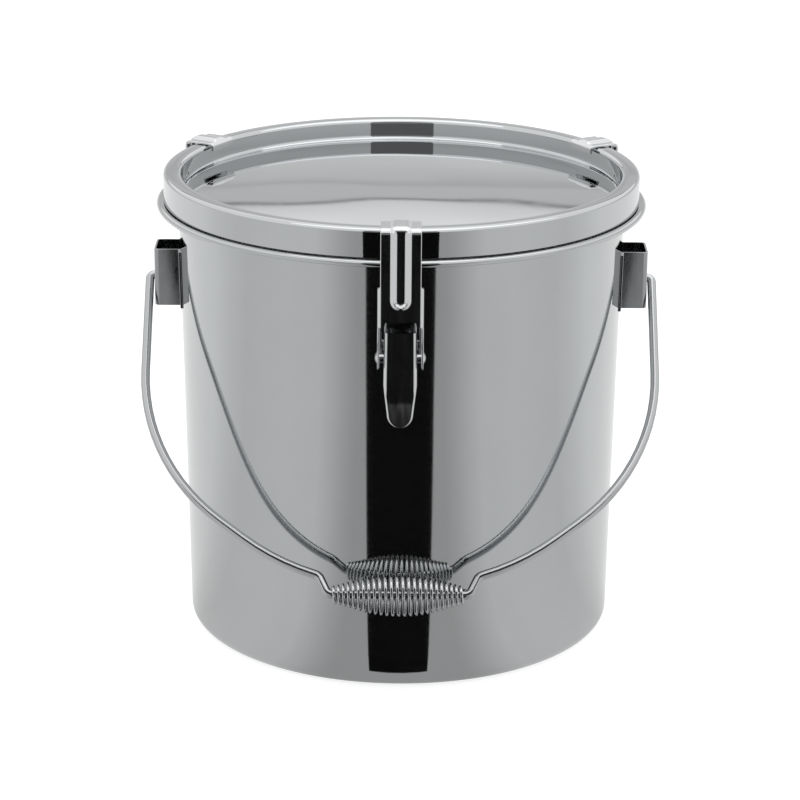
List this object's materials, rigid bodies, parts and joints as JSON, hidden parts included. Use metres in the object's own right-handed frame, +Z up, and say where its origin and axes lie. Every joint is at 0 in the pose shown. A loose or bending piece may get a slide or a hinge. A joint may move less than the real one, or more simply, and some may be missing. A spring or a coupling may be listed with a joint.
{
  "type": "milk can",
  "caption": "Sealed cylindrical steel milk can with a dished gasketed lid, over-centre hook latches on the rim and a swinging wire bail with a coil-spring grip.",
  "frame": {"origin": "centre of the can's flat base, on the can's axis", "axes": "+Z up along the can's axis; -Y is the front, where one latch sits and the bail rests; the bail's pivots lie along X"},
  "size_m": [0.314, 0.3082, 0.2888],
  "materials": {
    "polished_steel": "mirror polished stainless steel",
    "pressed_steel": "bright pressed stainless steel",
    "wire_steel": "drawn stainless steel wire",
    "spring_steel": "bright stainless spring wire",
    "pin_steel": "bright stainless rivet",
    "gasket": "matt translucent white silicone"
  },
  "bodies": {
    "can": {"can_shell": "polished_steel", "lug_left": "pressed_steel", "lug_right": "pressed_steel", "latch_base_front": "pressed_steel", "latch_base_rear_right": "pressed_steel", "latch_base_rear_left": "pressed_steel", "lever_pin_front": "pin_steel", "lever_pin_rear_right": "pin_steel", "lever_pin_rear_left": "pin_steel"},
    "lid": {"lid_shell": "polished_steel", "lid_gasket": "gasket"},
    "bail": {"bail_wire": "wire_steel"},
    "grip": {"grip_coil": "spring_steel"},
    "lever_front": {"latch_lever_front": "pressed_steel"},
    "lever_rear_right": {"latch_lever_rear_right": "pressed_steel"},
    "lever_rear_left": {"latch_lever_rear_left": "pressed_steel"},
    "hook_front": {"latch_hook_front": "pressed_steel", "hook_pin_front": "pin_steel"},
    "hook_rear_right": {"latch_hook_rear_right": "pressed_steel", "hook_pin_rear_right": "pin_steel"},
    "hook_rear_left": {"latch_hook_rear_left": "pressed_steel", "hook_pin_rear_left": "pin_steel"}
  },
  "joints": [
    {"name": "bail_swing", "type": "hinge", "parent": "can", "child": "bail", "pos_m": [0, 0, 0.218], "axis": [-1, 0, 0], "range_deg": [0, 272]},
    {"name": "grip_turn", "type": "hinge", "parent": "bail", "child": "grip", "pos_m": [0, -0.14604, 0.06571], "axis": [1, 0, 0], "continuous": true},
    {"name": "lid_turn", "type": "hinge", "parent": "can", "child": "lid", "pos_m": [0, 0, 0.2685], "axis": [0, 0, 1], "continuous": true},
    {"name": "lever_front_swing", "type": "hinge", "parent": "can", "child": "lever_front", "pos_m": [0, -0.1435, 0.2423], "axis": [-1, 0, 0], "range_deg": [0, 80]},
    {"name": "hook_front_swing", "type": "hinge", "parent": "lever_front", "child": "hook_front", "pos_m": [0, -0.146, 0.211], "axis": [-1, 0, 0], "range_deg": [-50, 0]},
    {"name": "lever_rear_right_swing", "type": "hinge", "parent": "can", "child": "lever_rear_right", "pos_m": [0.12427, 0.07175, 0.2423], "axis": [0.5, -0.866, 0], "range_deg": [0, 80]},
    {"name": "hook_rear_right_swing", "type": "hinge", "parent": "lever_rear_right", "child": "hook_rear_right", "pos_m": [0.12644, 0.073, 0.211], "axis": [0.5, -0.866, 0], "range_deg": [-50, 0]},
    {"name": "lever_rear_left_swing", "type": "hinge", "parent": "can", "child": "lever_rear_left", "pos_m": [-0.12427, 0.07175, 0.2423], "axis": [0.5, 0.866, 0], "range_deg": [0, 80]},
    {"name": "hook_rear_left_swing", "type": "hinge", "parent": "lever_rear_left", "child": "hook_rear_left", "pos_m": [-0.12644, 0.073, 0.211], "axis": [0.5, 0.866, 0], "range_deg": [-50, 0]}
  ],
  "couplings": [
    {"joint": "hook_front_swing", "follows": "lever_front_swing", "ratio": -0.62},
    {"joint": "hook_rear_right_swing", "follows": "lever_rear_right_swing", "ratio": -0.62},
    {"joint": "hook_rear_left_swing", "follows": "lever_rear_left_swing", "ratio": -0.62}
  ]
}
